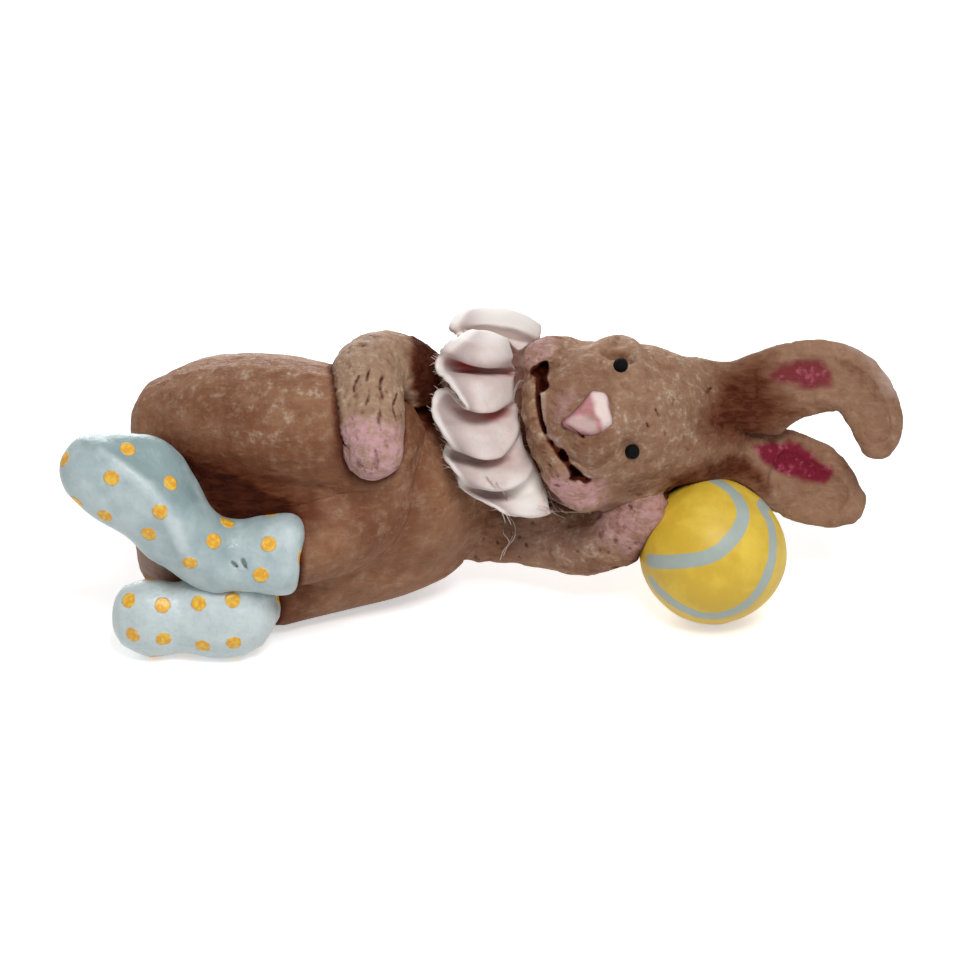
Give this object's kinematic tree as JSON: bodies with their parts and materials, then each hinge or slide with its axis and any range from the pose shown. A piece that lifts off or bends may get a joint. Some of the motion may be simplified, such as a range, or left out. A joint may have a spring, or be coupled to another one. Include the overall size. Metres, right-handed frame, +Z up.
{
  "type": "sleeping rabbit figurine",
  "caption": "Free-standing figurine of a rabbit lying on its side, with separate boots, ears, cloth ruffle and ball on a wire armature.",
  "frame": {"origin": "middle of the flat rest face under the torso", "axes": "+X along the body towards the head and ears, -Y towards the face, +Z up"},
  "size_m": [0.1704, 0.0636, 0.0611],
  "materials": {
    "pulp": "matt painted paper pulp, brown",
    "boot": "satin painted paper pulp, pale blue",
    "blush": "matt painted paper pulp, pink",
    "eye": "glossy black bead",
    "ball": "satin painted craft ball, yellow",
    "cloth": "thin pale pink cloth",
    "wire": "bare wire"
  },
  "bodies": {
    "root": {"torso": "pulp", "right_thigh": "pulp", "right_shin": "pulp", "left_leg": "pulp", "right_boot": "boot", "left_boot": "boot", "right_arm": "pulp", "left_arm": "pulp", "head": "pulp", "muzzle": "pulp", "jaw": "blush", "nose": "blush", "right_eye": "eye", "left_eye": "eye", "right_ear": "pulp", "left_ear": "pulp", "tail": "pulp", "ball": "ball", "neck_ruffle": "cloth", "gather_thread": "cloth", "neck_wire": "wire", "limb_wires": "wire", "ankle_wires": "wire", "ear_wires": "wire", "ball_wire": "wire", "tail_wire": "wire"}
  },
  "joints": []
}
